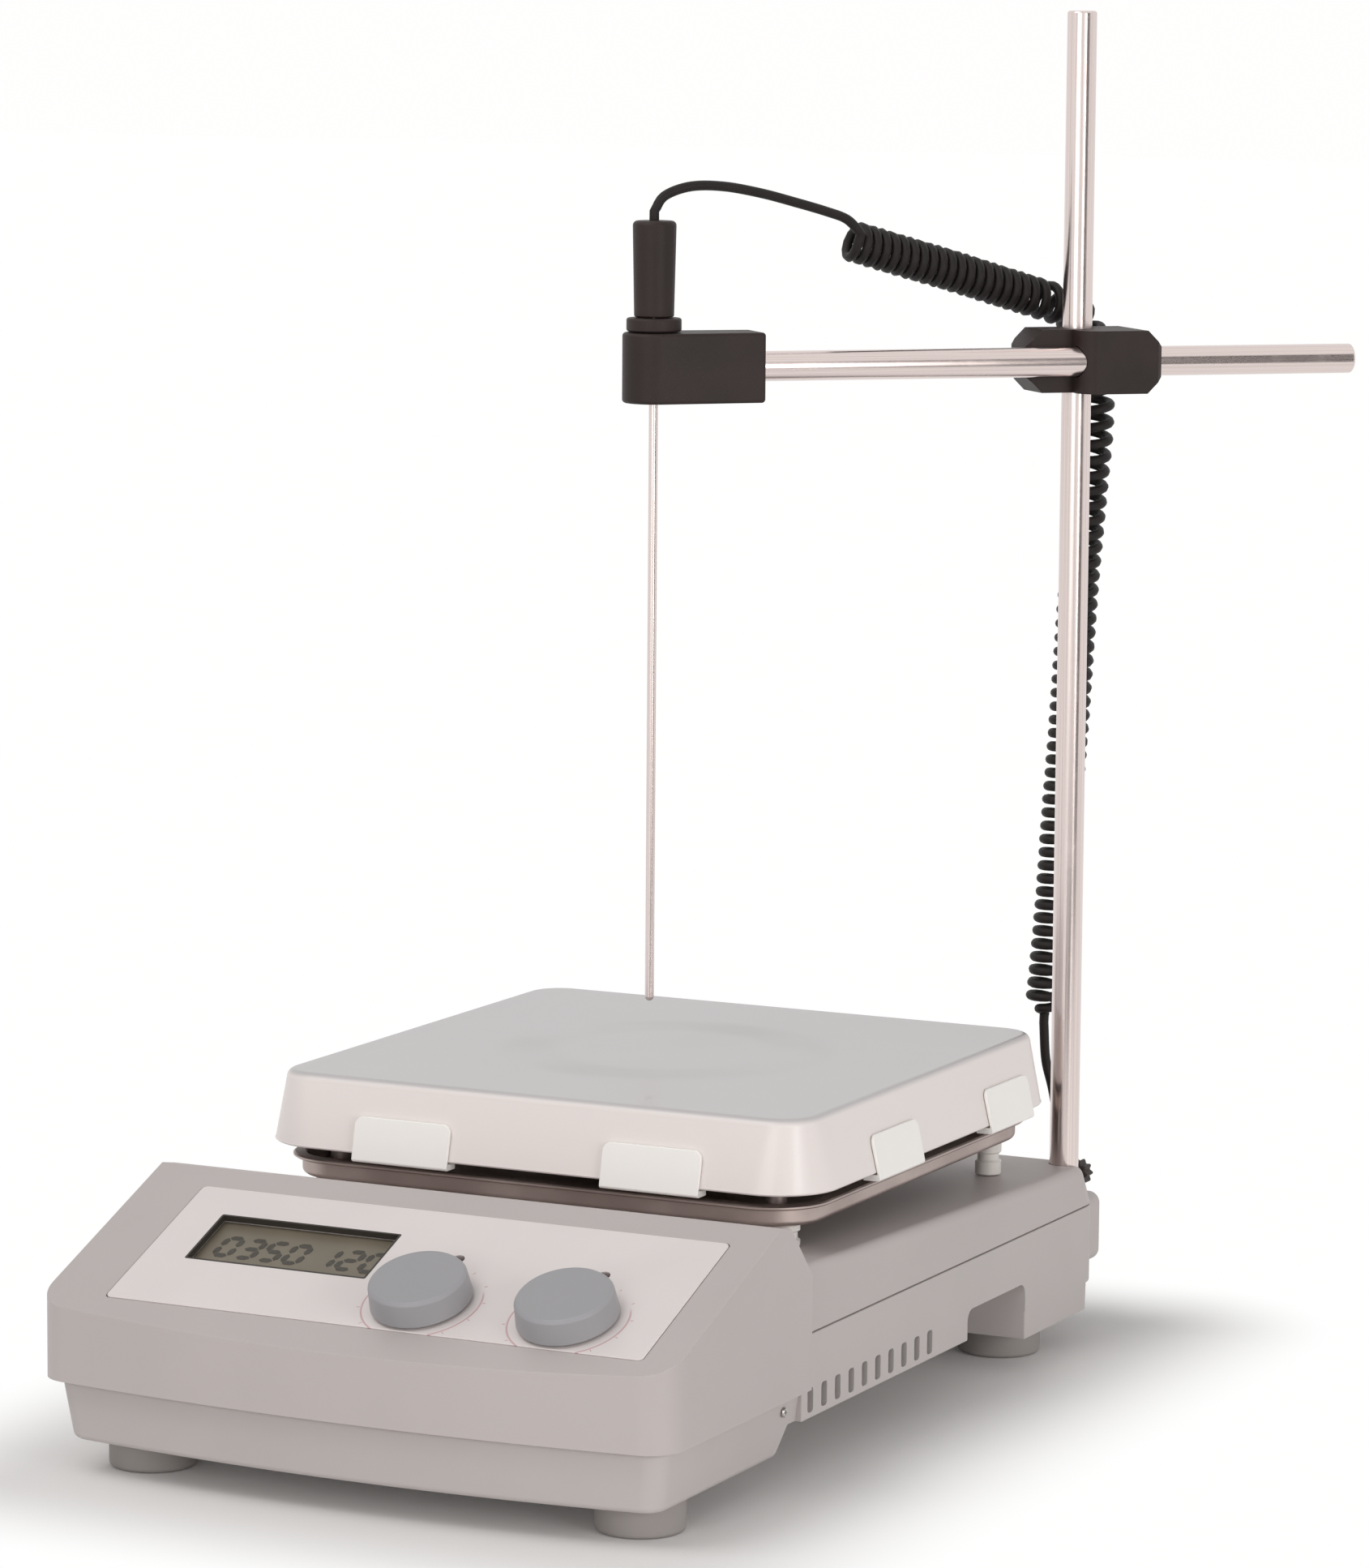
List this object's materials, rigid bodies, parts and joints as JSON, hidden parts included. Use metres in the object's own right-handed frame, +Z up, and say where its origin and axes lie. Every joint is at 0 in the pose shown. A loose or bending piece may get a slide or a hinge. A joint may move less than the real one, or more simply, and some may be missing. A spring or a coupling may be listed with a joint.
{
  "type": "hotplate stirrer",
  "caption": "Hotplate stirrer with a square heating plate, a sloping display and dial panel, and a stand rod whose clamp and arm hold a temperature probe on a curly cord.",
  "frame": {"origin": "middle of the footprint at bench level, measured without the cord: halfway between the nose's left side and the arm's right end, and halfway between the nose's front and the arm's rear end", "axes": "+Z up along the stand rod, -Y towards the user at the sloping panel, +X to the user's right"},
  "size_m": [0.2862, 0.4012, 0.454],
  "materials": {
    "housing": "satin warm grey paint",
    "tray": "fine matte warm grey",
    "foot": "matte dark grey rubber",
    "panel": "pale matte film on a flat sheet",
    "lens": "clear window",
    "display": "olive display glass with dark figures",
    "board": "green circuit board",
    "knob": "satin blue-grey",
    "lamp": "unlit dark lens",
    "plate": "pale satin glaze",
    "clip": "white enamel",
    "steel": "ground and polished stainless",
    "pan": "rolled sheet",
    "pillar": "white unglazed",
    "heater": "mica sheet",
    "insulation": "pressed fibre",
    "motor": "plated case",
    "magnet": "nickel plate",
    "black_plastic": "moulded black",
    "clamp": "moulded black with worn edges",
    "cord": "satin black sheath",
    "brass": "machined"
  },
  "bodies": {
    "base": {"upper_housing": "housing", "lower_housing": "tray", "foot_front_left": "foot", "foot_front_right": "foot", "foot_rear_left": "foot", "foot_rear_right": "foot", "front_panel": "panel", "lcd_window": "lens", "lcd_module": "display", "display_board": "board", "speed_lamp": "lamp", "heat_lamp": "lamp", "top_plate": "plate", "plate_clip_front_1": "clip", "plate_clip_front_2": "clip", "plate_clip_right_1": "clip", "plate_clip_right_2": "clip", "plate_clip_rear_1": "clip", "plate_clip_rear_2": "clip", "plate_clip_left_1": "clip", "plate_clip_left_2": "clip", "heater_element": "heater", "insulation_pad": "insulation", "heat_shield_pan": "pan", "pillar_front_left": "pillar", "pillar_front_right": "pillar", "pillar_rear_left": "pillar", "pillar_rear_right": "pillar", "stirring_motor": "motor", "power_board": "board", "rear_panel": "housing", "power_inlet": "black_plastic", "sensor_socket": "steel", "rod_socket": "brass", "curly_cord": "cord", "cord_tail": "cord", "sensor_plug": "black_plastic"},
    "speed_button": {"speed_push_stem": "black_plastic"},
    "speed_dial": {"speed_knob": "knob", "speed_shaft": "steel"},
    "heat_button": {"heat_push_stem": "black_plastic"},
    "heat_dial": {"heat_knob": "knob", "heat_shaft": "steel"},
    "stirring_drive": {"motor_shaft": "steel", "magnet_yoke": "steel", "magnet_north": "magnet", "magnet_south": "magnet"},
    "rocker": {"power_rocker": "black_plastic"},
    "lock_screw": {"rod_lock_screw": "black_plastic"},
    "stand": {"stand_rod": "steel"},
    "clamp": {"clamp_body": "clamp"},
    "clamp_rod_thumbscrew": {"clamp_rod_screw": "black_plastic"},
    "clamp_arm_thumbscrew": {"clamp_arm_screw": "black_plastic"},
    "arm": {"arm_rod": "steel", "probe_holder": "clamp", "cord_lead": "cord"},
    "probe": {"probe_collar": "black_plastic", "probe_handle": "black_plastic", "probe_stem": "steel"}
  },
  "joints": [
    {"name": "speed_press", "type": "slide", "parent": "base", "child": "speed_button", "axis": [0, 0.3724, -0.9281], "range_m": [0, 0.0006], "stiffness_N_per_m": 600, "springref_m": -0.002},
    {"name": "speed_turn", "type": "hinge", "parent": "speed_button", "child": "speed_dial", "pos_m": [-0.01728, -0.17181, 0.06384], "axis": [0, -0.3724, 0.9281], "continuous": true},
    {"name": "heat_press", "type": "slide", "parent": "base", "child": "heat_button", "axis": [0, 0.3724, -0.9281], "range_m": [0, 0.0006], "stiffness_N_per_m": 600, "springref_m": -0.002},
    {"name": "heat_turn", "type": "hinge", "parent": "heat_button", "child": "heat_dial", "pos_m": [0.03302, -0.17181, 0.06384], "axis": [0, -0.3724, 0.9281], "continuous": true},
    {"name": "stirring_spin", "type": "hinge", "parent": "base", "child": "stirring_drive", "pos_m": [-0.03284, 0.02441, 0.07], "axis": [0, 0, 1], "continuous": true},
    {"name": "power_switch", "type": "hinge", "parent": "base", "child": "rocker", "pos_m": [-0.05284, 0.16221, 0.0345], "axis": [1, 0, 0], "range_deg": [0, 20]},
    {"name": "lock_screw_turn", "type": "hinge", "parent": "base", "child": "lock_screw", "pos_m": [0.06341, 0.13941, 0.055], "axis": [0, 1, 0], "continuous": true},
    {"name": "stand_turn", "type": "hinge", "parent": "base", "child": "stand", "pos_m": [0.06341, 0.13941, 0.2], "axis": [0, 0, 1], "range_deg": [-90, 90]},
    {"name": "clamp_height", "type": "slide", "parent": "stand", "child": "clamp", "axis": [0, 0, 1], "range_m": [-0.014, 0.1], "deforming": ["curly_cord"]},
    {"name": "clamp_rod_screw_turn", "type": "hinge", "parent": "clamp", "child": "clamp_rod_thumbscrew", "pos_m": [0.06341, 0.13941, 0.337], "axis": [-0.6947, 0.7193, 0], "continuous": true},
    {"name": "clamp_arm_screw_turn", "type": "hinge", "parent": "clamp", "child": "clamp_arm_thumbscrew", "pos_m": [0.05442, 0.13073, 0.337], "axis": [-0.6947, 0.7193, 0], "continuous": true},
    {"name": "arm_reach", "type": "slide", "parent": "clamp", "child": "arm", "axis": [0.7193, 0.6947, 0], "range_m": [-0.068, 0.09]},
    {"name": "probe_lift", "type": "slide", "parent": "arm", "child": "probe", "axis": [0, 0, 1], "range_m": [0, 0.06], "deforming": ["cord_lead"]}
  ]
}
